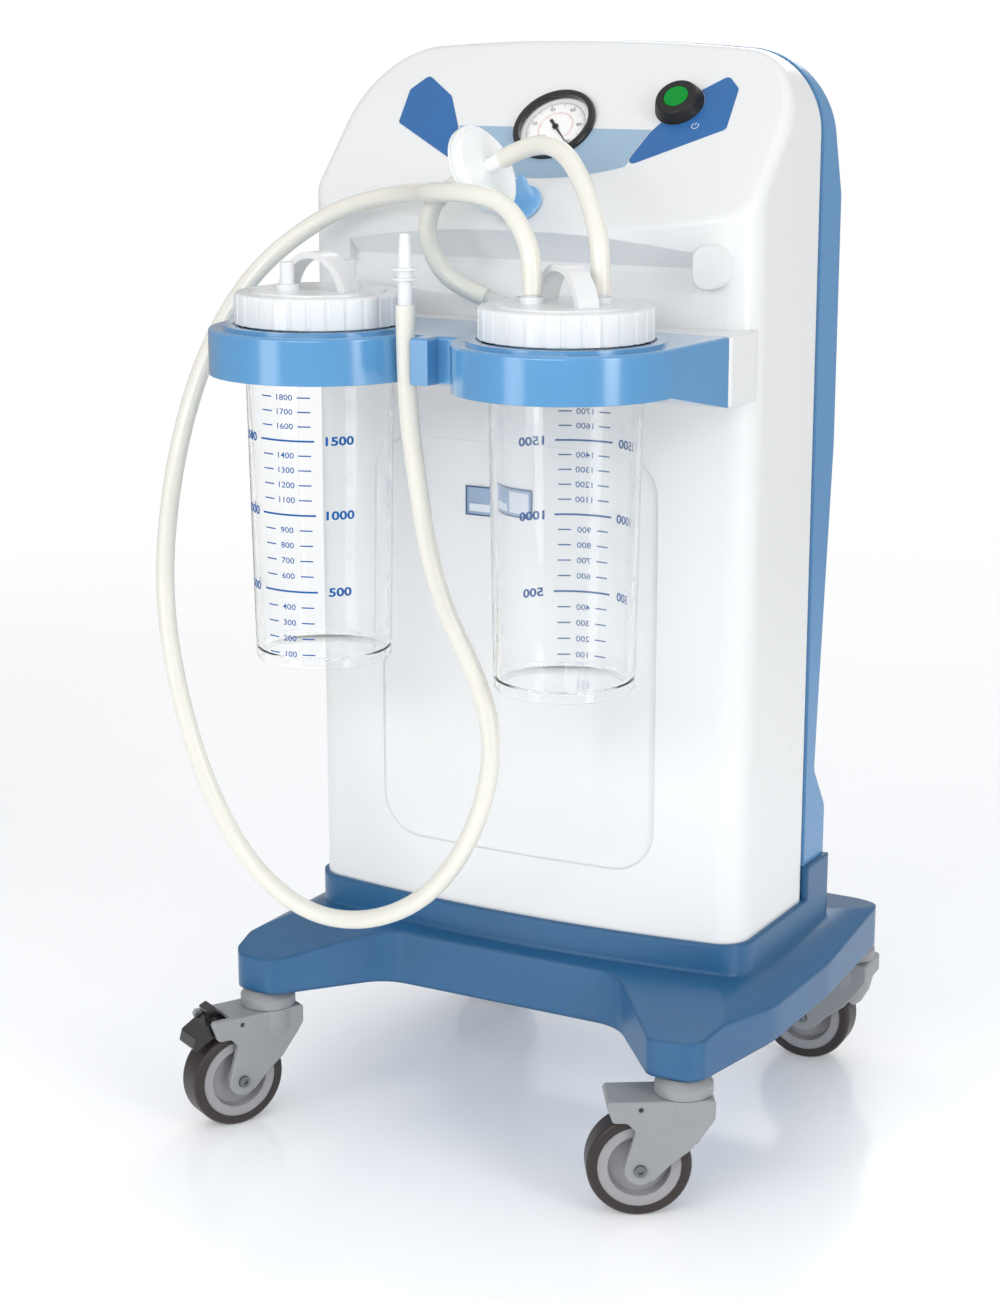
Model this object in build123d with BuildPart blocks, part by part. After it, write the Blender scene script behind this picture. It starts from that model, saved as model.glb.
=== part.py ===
from build123d import *
import math
import os

# Trolley-mounted medical suction pump. Millimetres, +Z up, front towards -Y.
# The origin is on the floor, under the middle of the machine's footprint.

# ---- casing --------------------------------------------------------------
HALF_W = 191.5
FRONT_Y = -44.0          # foremost line of the bowed front, at x = 0
FRONT_EDGE_Y = -27.0     # where the bowed front would meet the sides
CORNER_R = 24.0
SEAM_Y = 100.0           # joint between front and rear shell
BACK_Y = 140.0
SHELL_Z = 182.0          # lower edge of the front shell
REAR_SHELL_Z = 210.0     # lower edge of the rear shell
SHOULDER_Z = 793.0
SHOULDER_R = 62.5
CROWN_Z = 860.5
WALL = 4.0
NICHE_LIP_Z = 722.5      # niche under the panel's lower lip
NICHE_Y = -24.0
NICHE_CREASE_Z = 699.0
NICHE_LOW_Z = 668.0
NICHE_HALF_W = 150.0
PRESSING_HALF_W = 121.5  # recessed pressing in the front
PRESSING_LOW_Z = 232.0
PRESSING_H = 328.0
PRESSING_DEPTH = 2.0
REAR_WAIST_Z = 287.0
REAR_FACE_Y = 137.0      # upright part of the rear shell, above the waist
GRILLE_Z = 640.0
GRILLE_W = 140.0
GRILLE_H = 80.0
INLET_X = -120.0
INLET_Z = 230.0

# ---- sloping control panel -------------------------------------------------
PANEL_Y = 27.3
PANEL_RIM_R = 9.0
PANEL_Z = 800.0
PANEL_TILT = 43.2        # degrees from upright
PANEL_N = (0.0, -math.cos(math.radians(PANEL_TILT)), math.sin(math.radians(PANEL_TILT)))
PANEL = Plane(origin=(0, PANEL_Y, PANEL_Z), x_dir=(1, 0, 0), z_dir=PANEL_N)
GAUGE_V = -3.5
GAUGE_R = 33.5
SWITCH_U = 98.0
SWITCH_V = 19.0
SWITCH_R = 19.5
SWITCH_H = 10.0
BUTTON_R = 9.7
KNOB_V = -82.0
FOIL = 0.4
FOIL_GAP = 0.9           # white line left between neighbouring foils
KNOB_R = 17.0
KNOB_H = 27.0
KNOB_TURN = 32.0         # grip's direction from the panel's horizontal, in degrees
GRIP_L = 26.0
GRIP_W = 8.5
NEEDLE_TURN = math.radians(-47)
STEM_R = 3.0

# ---- jars and their holder -------------------------------------------------
JAR_X = 103.2
JAR_Y = -151.6
JAR_R = 55.0
JAR_FOOT_R = 51.3
JAR_WALL = 2.6
JAR_BOTTOM_Z = 405.5
HOLDER_TOP_Z = 656.0
HOLDER_LOW_Z = 622.0
HOLDER_ARM_LOW_Z = 604.6
HOLDER_BACK_Y = -66.0
HOLDER_R = 82.0
HOLDER_BORE_R = 57.6
LID_R = 62.6
LID_Z = 659.4
LID_TOP_Z = 682.0
PORT_SPREAD = 24.0
LID_TURN = {"left": 51.0, "right": 29.0}     # degrees of the line through the two ports
ARCH_TURN = 115.0                            # handle's line, from the line of the ports
HOSE_R = 7.0
HOSE_START_Z = 690.0
HOLDER_SEAT_R = 64.0
SLOT_BACK_Y = -165.5
BLOCK_HALF_W = 7.2
BLOCK_Y = -181.0
NIPPLE_R = 5.2
LID_FLUTES = 28

# ---- hoses and filter --------------------------------------------------------
FILTER_CENTRE = (-0.2, -88.0, 769.3)
FILTER_AXIS = (0.900, -0.102, 0.424)
FILTER_R = 34.0
FILTER_REACH = 20.0      # from the filter's centre to the end of each nipple
ELBOW_Z = 667.65
ELBOW_X = 6.0

FILTER_HOSE_ROUTE = [
    (17.8, -90.04, 777.78), (44.8, -93.1, 790.5), (74, -104, 787.5), (97, -117, 767), (114.5, -130.5, 741),
    (124.2, -139.9, 715), (124.2, -139.9, 690),
]
INLET_HOSE_ROUTE = [
    (-18.2, -85.96, 760.82), (-41.6, -83.31, 749.8), (-55, -77, 727.3), (-53.2, -70, 701.4),
    (-37, -64.5, 681), (-12.2, -61, 673.3),
]
PATIENT_HOSE_ROUTE = [
    (82.2, -163.3, 690), (82.2, -163.3, 714), (71.5, -158.5, 735), (51, -150, 752), (23, -146, 757),
    (-20, -127, 755), (-54, -92, 752), (-92, -69, 747), (-134, -66, 737), (-173, -70, 716.2),
    (-203.9, -86, 686.8), (-224.6, -108, 645.1), (-237.5, -131, 590), (-243.7, -152, 520.2),
    (-242.9, -166, 443.3), (-227, -173, 366.3), (-199.1, -174, 289.1), (-161.5, -173, 232.4),
    (-111.5, -172, 202), (-56.6, -172, 203.4), (-4.5, -171, 229.7), (31.5, -168, 276.9), (47.5, -162, 329),
    (45.5, -157, 374), (27, -153, 413), (3, -152, 453), (-9.5, -156, 500), (-12.5, -164, 551),
    (-15.2, -174, 613), (-15.2, -174, 678),
]

# ---- trolley -----------------------------------------------------------------
BASE_Z = 112.0
DECK_Z = 158.0
SWIVEL_X = 187.4
SWIVEL_Y = {"front": -115.0, "rear": 217.0}
DECK_EDGE_Z = 140.0      # top of the platform's outer wall
CREASE_R = 80.0          # softens the lines where the deck falls away
PLATFORM_WALL = 4.0
PLATFORM_HALF = [        # outline of the platform's right half: x, y and corner radius
    (106, -63, 40), (168, -138, 14), (207, -135, 16), (224, -30, 150), (224, 80, 200), (212, 236, 36),
]
COLLAR = 3.5             # how far the upstand stands outside the casing
PLATE_SCREWS = [(-110, -10), (110, -10), (-110, 115), (110, 115)]
STEM_TOP_Z = 135.0
WHEEL_R = 40.0
TRAIL = 34.0
TYRE_HALF_W = 13.0
FORK_HALF_W = 20.0
CAP_Z = 95.5
AXLE_R = 4.0
AXLE_HEAD_R = 5.0
PIN_U = 34.0             # pivot of the brake rocker, from the swivel axis
PIN_Z = 88.6
BRAKE_HALF_W = 12.5
BRAKE_TAB_HALF_W = 6.5
FORK_OUTLINE = [         # seen from the side: distance from the swivel axis, height and corner radius
    (-22, 95, 3), (58, 95, 1), (60, 92, 2), (55, 78, 3), (44, 77.5, 4), (37.5, 71, 5), (46, 43, 3),
    (24.4, 30.5, 3), (11.6, 43.4, 8), (-2.8, 54.6, 8), (-17, 72.7, 5), (-22, 80, 4),
]
SWIVEL_HOUSING = [(0, 51), (7, 51), (13, 56), (19, 67), (22, 80), (22, 95), (0, 95)]
PEDAL_OUTLINE = [
    (34, 86, 1), (46, 82, 4), (56, 79.8, 5), (64, 76, 3), (71.5, 70.5, 1.5), (75, 74, 2), (72.5, 83.5, 3),
    (62, 90, 4), (50, 93.5, 2), (43, 91.2, 2), (34, 91.2, 1),
]
TAB_OUTLINE = [(45, 90, 1), (54, 90, 1), (60, 102.5, 1.5), (53, 105.5, 1.5)]
CASTERS = {
    "front_left": (-SWIVEL_X, SWIVEL_Y["front"], 242.0, True),
    "front_right": (SWIVEL_X, SWIVEL_Y["front"], 212.0, False),
    "rear_left": (-SWIVEL_X, SWIVEL_Y["rear"], 350.0, True),
    "rear_right": (SWIVEL_X, SWIVEL_Y["rear"], 184.0, False),
}

# ---- pump unit -----------------------------------------------------------------
PUMP_Y = 45.0
MOUNT_TOP_Z = 176.0
SHAFT_Z = 226.0
SHAFT_R = 4.0
MOTOR_R = 42.0
MOTOR_HALF_L = 70.0

os.makedirs("parts", exist_ok=True)


def save(builder, name):
    builder.part.label = name
    export_step(builder.part, f"parts/{name}.step")


def slope_y(z, inset=0.0):
    """Where the sloping panel's plane stands at height z, moved inwards by inset."""
    tilt = math.radians(PANEL_TILT)
    return PANEL_Y + (z - PANEL_Z) * math.tan(tilt) + inset / math.cos(tilt)


def elevation(inset, low_z):
    """Front view of the casing: straight sides, round shoulders and a gently arched crown."""
    half = HALF_W - inset
    radius = SHOULDER_R - inset
    centre_x = HALF_W - SHOULDER_R
    lean = math.radians(4.4)
    crown_x = centre_x + radius * math.sin(lean)
    crown_z = SHOULDER_Z + radius * math.cos(lean)
    middle = math.radians(42.8)
    arc_x = centre_x + radius * math.cos(middle)
    arc_z = SHOULDER_Z + radius * math.sin(middle)
    with BuildSketch(Plane.XZ) as view:
        with BuildLine():
            Line((half, low_z), (half, SHOULDER_Z))
            ThreePointArc((half, SHOULDER_Z), (arc_x, arc_z), (crown_x, crown_z))
            ThreePointArc((crown_x, crown_z), (0, CROWN_Z - inset), (-crown_x, crown_z))
            ThreePointArc((-crown_x, crown_z), (-arc_x, arc_z), (-half, SHOULDER_Z))
            Polyline((-half, SHOULDER_Z), (-half, low_z), (half, low_z))
        make_face()
    return view.sketch


def casing_plan(inset, z, back_y):
    """Plan of the front shell: a bowed front between two round corners."""
    half = HALF_W - inset
    edge_y = FRONT_EDGE_Y + inset
    with BuildSketch(Plane.XY.offset(z)) as plan:
        with BuildLine():
            ThreePointArc((-half, edge_y), (0, FRONT_Y + inset), (half, edge_y))
            Polyline((half, edge_y), (half, back_y), (-half, back_y), (-half, edge_y))
        make_face()
        fillet(plan.vertices().group_by(Axis.Y)[0], radius=CORNER_R - inset)
    return plan.sketch


def casing_blank(inset, low_z, back_y):
    """Solid of the front casing's shape, moved inwards by inset, with a rounded panel rim."""
    high_z = CROWN_Z + 20
    with BuildPart() as blank:
        extrude(casing_plan(inset, low_z, back_y), amount=high_z - low_z)
        extrude(elevation(inset, low_z), amount=400, both=True, mode=Mode.INTERSECT)
        with BuildSketch(Plane.YZ):
            with BuildLine():
                Polyline(
                    (slope_y(650, inset), 650),
                    (slope_y(high_z, inset), high_z),
                    (back_y + 5, high_z),
                    (back_y + 5, low_z - 5),
                    (slope_y(650, inset), low_z - 5),
                    close=True,
                )
            make_face()
        extrude(amount=400, both=True, mode=Mode.INTERSECT)
        panel_face = blank.faces().sort_by(Axis(PANEL.origin, PANEL.z_dir))[-1]
        fillet(panel_face.outer_wire().edges(), radius=PANEL_RIM_R - inset)
    return blank.part


def niche_tool(grow):
    """Tool for the niche under the panel's lower lip, made larger all round by grow."""
    with BuildPart() as tool:
        with BuildSketch(Plane.YZ):
            with BuildLine():
                Polyline(
                    (FRONT_Y - 26, 745 + grow),
                    (FRONT_Y, NICHE_LIP_Z + grow),
                    (NICHE_Y + grow, NICHE_CREASE_Z + grow),
                    (NICHE_Y + grow, NICHE_CREASE_Z - 5 - grow),
                    (FRONT_Y - 2, NICHE_LOW_Z - grow),
                    (FRONT_Y - 26, NICHE_LOW_Z - grow),
                    close=True,
                )
            make_face()
        extrude(amount=NICHE_HALF_W + grow, both=True)
        with BuildSketch(Plane.XZ):
            with Locations((0, NICHE_LOW_Z + 60)):
                RectangleRounded(2 * (NICHE_HALF_W + grow), 124 + 2 * grow, 30)
        extrude(amount=120, both=True, mode=Mode.INTERSECT)
    return tool.part


def rear_profile(inset):
    """Side view of the rear shell, open towards the seam and downwards when inset."""
    extra = 30 if inset else 0
    with BuildSketch(Plane.YZ) as view:
        with BuildLine():
            Polyline(
                (SEAM_Y - extra, REAR_SHELL_Z - extra),
                (BACK_Y, REAR_SHELL_Z - extra),
                (BACK_Y, 252),
                (116, REAR_WAIST_Z),
                (120, 345),
                (REAR_FACE_Y, 550),
                (REAR_FACE_Y, 745),
                (106, 850),
                (SEAM_Y - extra, CROWN_Z),
                close=True,
            )
        make_face()
        bends = view.vertices().filter_by(lambda v: v.Y > 240 and v.X > SEAM_Y + 1)
        fillet(bends, radius=12)
        if inset:
            offset(amount=-inset)
    return view.sketch


def upright(x, y):
    """Vertical plane through a point on the floor: sketches on it read x and z."""
    return Plane(origin=(x, y, 0), x_dir=(1, 0, 0), z_dir=(0, -1, 0))


def rounded_line(corners):
    """Closed outline through corners of (x, y, radius)."""
    return FilletPolyline(*[(x, y) for x, y, radius in corners], radius=[radius for x, y, radius in corners],
                          close=True)


def lathe(plane, profile, axis_point):
    """Body of revolution about the upright axis through axis_point; profile reads radius and height."""
    with BuildPart() as body:
        with BuildSketch(plane):
            with BuildLine():
                Polyline(*profile, close=True)
            make_face()
        revolve(axis=Axis((axis_point[0], axis_point[1], 0), (0, 0, 1)))
    return body.part


# ---- casing ------------------------------------------------------------------
front_blank = casing_blank(0, SHELL_Z, SEAM_Y)

with BuildPart() as pressing:
    add(casing_blank(-6, SHELL_Z, SEAM_Y))
    add(casing_blank(PRESSING_DEPTH, SHELL_Z - 5, SEAM_Y + 5), mode=Mode.SUBTRACT)
    with BuildSketch(Plane.XZ):
        with Locations((0, PRESSING_LOW_Z + PRESSING_H / 2)):
            RectangleRounded(2 * PRESSING_HALF_W, PRESSING_H, 34)
    extrude(amount=200, mode=Mode.INTERSECT)

with BuildPart() as boss_void:
    with BuildSketch(Plane.YZ):
        with BuildLine():
            Polyline(
                (HOLDER_BACK_Y + WALL, HOLDER_ARM_LOW_Z + WALL),
                (FRONT_EDGE_Y + 8, HOLDER_ARM_LOW_Z + WALL),
                (FRONT_EDGE_Y + 8, HOLDER_TOP_Z - WALL),
                (HOLDER_BACK_Y + WALL, HOLDER_TOP_Z - WALL),
                close=True,
            )
        make_face()
    extrude(amount=HALF_W - WALL, both=True)

with BuildPart() as front_void:
    add(casing_blank(WALL, SHELL_Z - 5, SEAM_Y + 5))
    add(niche_tool(WALL), mode=Mode.SUBTRACT)
    add(boss_void.part)

with BuildPart() as front_shell:
    add(front_blank)
    with BuildSketch(Plane.YZ):
        with Locations(((HOLDER_BACK_Y + FRONT_EDGE_Y) / 2 + 4, (HOLDER_TOP_Z + HOLDER_ARM_LOW_Z) / 2)):
            Rectangle(FRONT_EDGE_Y - HOLDER_BACK_Y + 8, HOLDER_TOP_Z - HOLDER_ARM_LOW_Z)
    extrude(amount=HALF_W, both=True)
    boss_front = front_shell.faces().sort_by(Axis.Y)[0]
    fillet(boss_front.edges(), radius=4)
    add(niche_tool(0), mode=Mode.SUBTRACT)
    with BuildSketch(Plane.XZ.offset(22)):
        with Locations((162, 702)):
            RectangleRounded(24, 32, 11)
    extrude(amount=23)
    add(pressing.part, mode=Mode.SUBTRACT)
    add(front_void.part, mode=Mode.SUBTRACT)
    with BuildSketch(PANEL.offset(-3 * WALL)):
        with Locations((0, GAUGE_V)):
            Circle(GAUGE_R - 2.2)
        with Locations((SWITCH_U, SWITCH_V)):
            Circle(11.2)
        with Locations((0, KNOB_V)):
            Circle(6.2)
    extrude(amount=6 * WALL, mode=Mode.SUBTRACT)
    with BuildSketch(Plane.XZ.offset(10)):
        with Locations((ELBOW_X, ELBOW_Z)):
            Circle(5.7)
    extrude(amount=60, mode=Mode.SUBTRACT)
save(front_shell, "front_shell")

with BuildPart() as rear_void:
    extrude(elevation(WALL, REAR_SHELL_Z - 30), amount=-2 * BACK_Y)
    extrude(rear_profile(WALL), amount=400, both=True, mode=Mode.INTERSECT)

with BuildPart() as rear_shell:
    extrude(elevation(0, REAR_SHELL_Z), amount=-2 * BACK_Y)
    extrude(rear_profile(0), amount=400, both=True, mode=Mode.INTERSECT)
    add(rear_void.part, mode=Mode.SUBTRACT)
    with BuildSketch(Plane.XZ.offset(-BACK_Y - 10)):
        with Locations((0, GRILLE_Z)):
            RectangleRounded(GRILLE_W, GRILLE_H, 8)
        with Locations((INLET_X, INLET_Z)):
            Rectangle(28, 20)
    extrude(amount=40, mode=Mode.SUBTRACT)
save(rear_shell, "rear_shell")

with BuildPart() as rear_grille:
    with BuildSketch(Plane.XZ.offset(WALL - REAR_FACE_Y)):
        with Locations((0, GRILLE_Z)):
            RectangleRounded(GRILLE_W + 12, GRILLE_H + 12, 8)
            with GridLocations(0, 9, 1, 8):
                SlotOverall(GRILLE_W - 10, 5, mode=Mode.SUBTRACT)
    extrude(amount=3)
save(rear_grille, "rear_grille")

with BuildPart() as name_plate:
    add(casing_blank(PRESSING_DEPTH - 0.8, 480, SEAM_Y))
    add(casing_blank(PRESSING_DEPTH, 475, SEAM_Y + 5), mode=Mode.SUBTRACT)
    with BuildSketch(Plane.XZ):
        with Locations((-12.5, 513.5)):
            RectangleRounded(57, 23, 2)
    extrude(amount=200, mode=Mode.INTERSECT)
save(name_plate, "name_plate")


# ---- control panel -----------------------------------------------------------
def petal(points, grow=0.0):
    """Outline of one dark foil on the sloping panel, its corners rounded, made larger all round by grow."""
    with BuildSketch(PANEL) as outline:
        with BuildLine():
            FilletPolyline(*points, radius=PETAL_R, close=True)
        make_face()
        if grow:
            offset(amount=grow)
        with Locations((SWITCH_U, SWITCH_V)):
            Circle(SWITCH_R + 0.3, mode=Mode.SUBTRACT)
    return outline.sketch


PETAL_R = 4.0
LEFT_PETAL = [(-130.4, 45), (-142.5, 30), (-139.5, -4), (-74, -42), (-84, -7), (-102, 24)]
RIGHT_PETAL = [(129.5, 48), (141.2, 35.8), (143.5, -3.5), (71.5, -43), (83, -8), (107, 30)]
with BuildPart() as panel_petals:
    extrude(petal(LEFT_PETAL), amount=FOIL)
    extrude(petal(RIGHT_PETAL), amount=FOIL)
save(panel_petals, "panel_petals")

with BuildPart() as panel_band:
    with BuildSketch(PANEL):
        with BuildLine():
            Polyline((-74, -41.8), (-82.7, -6), (82.7, -6), (73, -41.8))
            ThreePointArc((73, -41.8), (0, -55.4), (-74, -41.8))
        make_face()
        with Locations((0, GAUGE_V)):
            Circle(GAUGE_R + 0.3, mode=Mode.SUBTRACT)
    extrude(amount=FOIL)
    for corners in (LEFT_PETAL, RIGHT_PETAL):
        extrude(petal(corners, FOIL_GAP), amount=FOIL, both=True, mode=Mode.SUBTRACT)
save(panel_band, "panel_band")

GAUGE = Plane(origin=PANEL.from_local_coords((0, GAUGE_V, 0)), x_dir=PANEL.x_dir, z_dir=PANEL.z_dir)
SWITCH = Plane(
    origin=PANEL.from_local_coords((SWITCH_U, SWITCH_V, 0)), x_dir=PANEL.x_dir, z_dir=PANEL.z_dir
)
KNOB = Plane(origin=PANEL.from_local_coords((0, KNOB_V, 0)), x_dir=PANEL.x_dir, z_dir=PANEL.z_dir)

with BuildPart() as gauge_case:
    with BuildSketch(GAUGE.offset(-24)):
        Circle(GAUGE_R - 2.5)
    extrude(amount=24)
    with BuildSketch(GAUGE):
        Circle(GAUGE_R)
    extrude(amount=4)
    fillet(gauge_case.faces().sort_by(Axis(GAUGE.origin, GAUGE.z_dir))[-1].edges(), radius=1.6)
    with BuildSketch(GAUGE.offset(-2.5)):
        Circle(GAUGE_R - 5)
    extrude(amount=10, mode=Mode.SUBTRACT)
    with BuildSketch(GAUGE.offset(-20)):
        Circle(0.86)
    extrude(amount=20, mode=Mode.SUBTRACT)
save(gauge_case, "gauge_case")

with BuildPart() as gauge_dial:
    with BuildSketch(GAUGE.offset(-2.5)):
        Circle(GAUGE_R - 5)
        Circle(1.6, mode=Mode.SUBTRACT)
    extrude(amount=0.8)
save(gauge_dial, "gauge_dial")

with BuildPart() as gauge_glass:
    with BuildSketch(GAUGE.offset(0.9)):
        Circle(GAUGE_R - 5)
    extrude(amount=1.6)
save(gauge_glass, "gauge_glass")

needle_dir = Vector(math.cos(NEEDLE_TURN), math.sin(NEEDLE_TURN))
needle_side = Vector(-needle_dir.Y, needle_dir.X)
with BuildPart() as gauge_needle:
    with BuildSketch(GAUGE.offset(-1.3)):
        with BuildLine():
            Polyline(
                needle_dir * -9 + needle_side * 1.4,
                needle_dir * 23,
                needle_dir * -9 - needle_side * 1.4,
                close=True,
            )
        make_face()
        Circle(2.6)
    extrude(amount=0.6)
    with BuildSketch(GAUGE.offset(-12)):
        Circle(0.8)
    extrude(amount=12.4)
save(gauge_needle, "gauge_needle")

with BuildPart() as switch_bezel:
    with BuildSketch(SWITCH.offset(-26)):
        Circle(11)
    extrude(amount=27)
    with BuildSketch(SWITCH.offset(0.1)):
        Circle(SWITCH_R)
    extrude(amount=SWITCH_H, taper=20)
    fillet(switch_bezel.faces().sort_by(Axis(SWITCH.origin, SWITCH.z_dir))[-1].edges(), radius=1.5)
    with BuildSketch(SWITCH.offset(-5)):
        Circle(BUTTON_R + 0.3)
    extrude(amount=20, mode=Mode.SUBTRACT)
save(switch_bezel, "switch_bezel")

with BuildPart() as switch_button:
    with BuildSketch(SWITCH.offset(-1.5)):
        Circle(BUTTON_R)
    extrude(amount=SWITCH_H + 2.3)
    fillet(switch_button.faces().sort_by(Axis(SWITCH.origin, SWITCH.z_dir))[-1].edges(), radius=1.2)
save(switch_button, "switch_button")

with BuildPart() as regulator_valve:
    with BuildSketch(KNOB.offset(-34)):
        Circle(12)
    extrude(amount=34 - WALL - 0.3)
    with BuildSketch(KNOB.offset(-10)):
        Circle(6)
    extrude(amount=10.3)
    with BuildSketch(KNOB.offset(-20)):
        Circle(STEM_R + 0.06)
    extrude(amount=30, mode=Mode.SUBTRACT)
save(regulator_valve, "regulator_valve")

with BuildPart() as regulator_knob:
    with BuildSketch(KNOB.offset(-18)):
        Circle(STEM_R)
    extrude(amount=20)
    with BuildSketch(KNOB.offset(1)):
        Circle(KNOB_R)
    extrude(amount=3)
    fillet(regulator_knob.edges().filter_by(GeomType.CIRCLE).sort_by(SortBy.RADIUS)[-2:], radius=0.9)
    with BuildSketch(KNOB.offset(4)):
        RectangleRounded(GRIP_L, GRIP_W, 3, rotation=KNOB_TURN)
    extrude(amount=KNOB_H - 4, taper=2)
    fillet(regulator_knob.faces().sort_by(Axis(KNOB.origin, KNOB.z_dir))[-1].edges(), radius=1.5)
save(regulator_knob, "regulator_knob")


# ---- jar holder ----------------------------------------------------------------
with BuildPart() as jar_holder:
    with BuildSketch(Plane.XY.offset(HOLDER_ARM_LOW_Z)):
        with Locations((-JAR_X, JAR_Y), (JAR_X, JAR_Y)):
            Circle(HOLDER_R)
        with BuildLine():
            Polyline(
                (-190, HOLDER_BACK_Y),
                (190, HOLDER_BACK_Y),
                (JAR_X + HOLDER_R, JAR_Y),
                (-JAR_X - HOLDER_R, JAR_Y),
                close=True,
            )
        make_face()
        with Locations((0, (HOLDER_BACK_Y + SLOT_BACK_Y) / 2)):
            Rectangle(70, HOLDER_BACK_Y - SLOT_BACK_Y)
        with Locations((0, (SLOT_BACK_Y + BLOCK_Y) / 2)):
            Rectangle(2 * BLOCK_HALF_W, SLOT_BACK_Y - BLOCK_Y)
    extrude(amount=HOLDER_TOP_Z - HOLDER_ARM_LOW_Z)
    with BuildSketch(Plane.YZ):
        with BuildLine():
            Polyline(
                (JAR_Y - HOLDER_R - 5, HOLDER_LOW_Z),
                (JAR_Y, HOLDER_LOW_Z),
                (HOLDER_BACK_Y, HOLDER_ARM_LOW_Z),
                (HOLDER_BACK_Y, HOLDER_TOP_Z),
                (JAR_Y - HOLDER_R - 5, HOLDER_TOP_Z),
                close=True,
            )
        make_face()
    extrude(amount=200, both=True, mode=Mode.INTERSECT)
    holder_rim = jar_holder.faces().sort_by(Axis.Z)[-1].outer_wire().edges()
    fillet(holder_rim.filter_by(lambda edge: edge.center().Y < HOLDER_BACK_Y - 1), radius=2.5)
    with BuildSketch(Plane.XY.offset(HOLDER_TOP_Z)):
        with Locations((-JAR_X, JAR_Y), (JAR_X, JAR_Y)):
            Circle(71.6)
            Circle(HOLDER_SEAT_R, mode=Mode.SUBTRACT)
    extrude(amount=2.5)
    with BuildSketch(Plane.XY.offset(HOLDER_ARM_LOW_Z - 5)):
        with Locations((-JAR_X, JAR_Y), (JAR_X, JAR_Y)):
            Circle(HOLDER_BORE_R)
    extrude(amount=80, mode=Mode.SUBTRACT)
save(jar_holder, "jar_holder")


# ---- jars, lids, seals and floats ------------------------------------------------
def make_jar(x):
    """Tapered jar with a flange that rests in the holder and a neck for the lid."""
    flange_z = HOLDER_TOP_Z + 0.3
    neck_z = LID_Z + 16.6
    profile = [
        (0, JAR_BOTTOM_Z + 3),
        (0, JAR_BOTTOM_Z + 6),
        (JAR_FOOT_R - JAR_WALL - 3, JAR_BOTTOM_Z + 6),
        (JAR_FOOT_R - JAR_WALL, JAR_BOTTOM_Z + 9),
        (JAR_R - JAR_WALL, 620),
        (JAR_R - JAR_WALL, neck_z),
        (JAR_R + 1, neck_z),
        (JAR_R + 1, flange_z + 2.7),
        (60, flange_z + 2.7),
        (60, flange_z),
        (JAR_R + 1.5, flange_z),
        (JAR_R, flange_z - 3),
        (JAR_R, 620),
        (JAR_FOOT_R, JAR_BOTTOM_Z + 3),
        (JAR_FOOT_R - 3, JAR_BOTTOM_Z),
        (JAR_FOOT_R - 7, JAR_BOTTOM_Z),
        (JAR_FOOT_R - 9, JAR_BOTTOM_Z + 3),
    ]
    return lathe(upright(x, JAR_Y), profile, (x, JAR_Y))


def port_places(side):
    """Centres of a lid's two ports: patient side first, pump side second."""
    x = JAR_X if side == "right" else -JAR_X
    turn = math.radians(LID_TURN[side])
    return [
        (x + way * PORT_SPREAD * math.cos(turn), JAR_Y + way * PORT_SPREAD * math.sin(turn))
        for way in ((-1, 1) if side == "right" else (1, -1))
    ]


def make_lid(side):
    """Screw lid with a fluted rim, two ports and an arched handle."""
    x = JAR_X if side == "right" else -JAR_X
    nipple_top = HOSE_START_Z if side == "right" else HOSE_START_Z + 14
    across = math.radians(LID_TURN[side] + ARCH_TURN)
    arch_plane = Plane(
        origin=(x, JAR_Y, LID_TOP_Z),
        x_dir=(math.cos(across), math.sin(across), 0),
        z_dir=(math.sin(across), -math.cos(across), 0),
    )
    with BuildPart() as lid:
        with BuildSketch(Plane.XY.offset(LID_Z)):
            with Locations((x, JAR_Y)):
                Circle(LID_R)
        extrude(amount=LID_TOP_Z - LID_Z)
        fillet(lid.edges().sort_by(Axis.Z)[-1], radius=3)
        with BuildSketch(Plane.XY.offset(LID_Z)):
            with Locations((x, JAR_Y)):
                with PolarLocations(LID_R + 0.9, LID_FLUTES):
                    Circle(2.2)
        extrude(amount=LID_TOP_Z - LID_Z, mode=Mode.SUBTRACT)
        with BuildSketch(Plane.XY.offset(LID_TOP_Z)):
            with Locations((x, JAR_Y)):
                Circle(50)
        extrude(amount=1.5)
        with BuildSketch(Plane.XY.offset(LID_Z)):
            with Locations((x, JAR_Y)):
                Circle(58.5)
        extrude(amount=20, mode=Mode.SUBTRACT)
        with BuildSketch(arch_plane):
            with BuildLine():
                ThreePointArc((-36, 0), (0, 29), (36, 0))
                Line((36, 0), (29, 0))
                ThreePointArc((29, 0), (0, 24), (-29, 0))
                Line((-29, 0), (-36, 0))
            make_face()
        extrude(amount=8, both=True)
        with BuildSketch(Plane.XY.offset(LID_TOP_Z - 2)):
            with Locations(*port_places(side)):
                Circle(8.5)
        extrude(amount=8)
        with BuildSketch(Plane.XY.offset(LID_TOP_Z - 2)):
            with Locations(*port_places(side)):
                Circle(NIPPLE_R)
        extrude(amount=nipple_top - LID_TOP_Z + 2)
        with BuildSketch(Plane.XY.offset(LID_TOP_Z - 12)):
            with Locations(*port_places(side)):
                Circle(3.4)
        extrude(amount=60, mode=Mode.SUBTRACT)
    return lid


def make_gasket(x):
    with BuildPart() as gasket:
        with BuildSketch(Plane.XY.offset(LID_Z + 17)):
            with Locations((x, JAR_Y)):
                Circle(58)
                Circle(51, mode=Mode.SUBTRACT)
        extrude(amount=3)
    return gasket


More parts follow.
